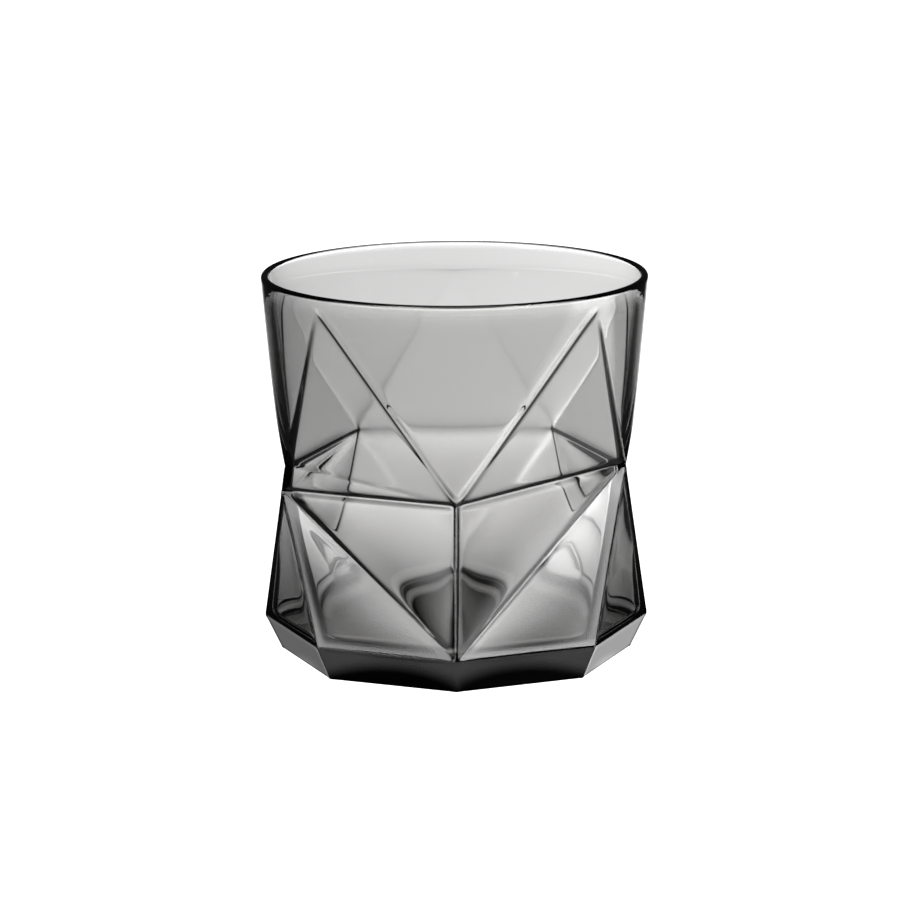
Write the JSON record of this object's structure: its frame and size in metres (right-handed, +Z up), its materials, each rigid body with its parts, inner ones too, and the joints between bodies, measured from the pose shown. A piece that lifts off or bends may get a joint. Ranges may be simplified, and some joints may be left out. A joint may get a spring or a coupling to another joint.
{
  "type": "whiskey tumbler",
  "caption": "Short smoke-grey glass tumbler with a faceted waist, a chamfered eight-sided foot and a round rim.",
  "frame": {"origin": "centre of the face that the glass stands on", "axes": "+Z up through the open rim; -Y is the front, where one waist corner faces; +X is to the right"},
  "size_m": [0.09, 0.09, 0.09],
  "materials": {
    "smoke_glass": "polished"
  },
  "bodies": {
    "root": {"tumbler_body": "smoke_glass"}
  },
  "joints": []
}
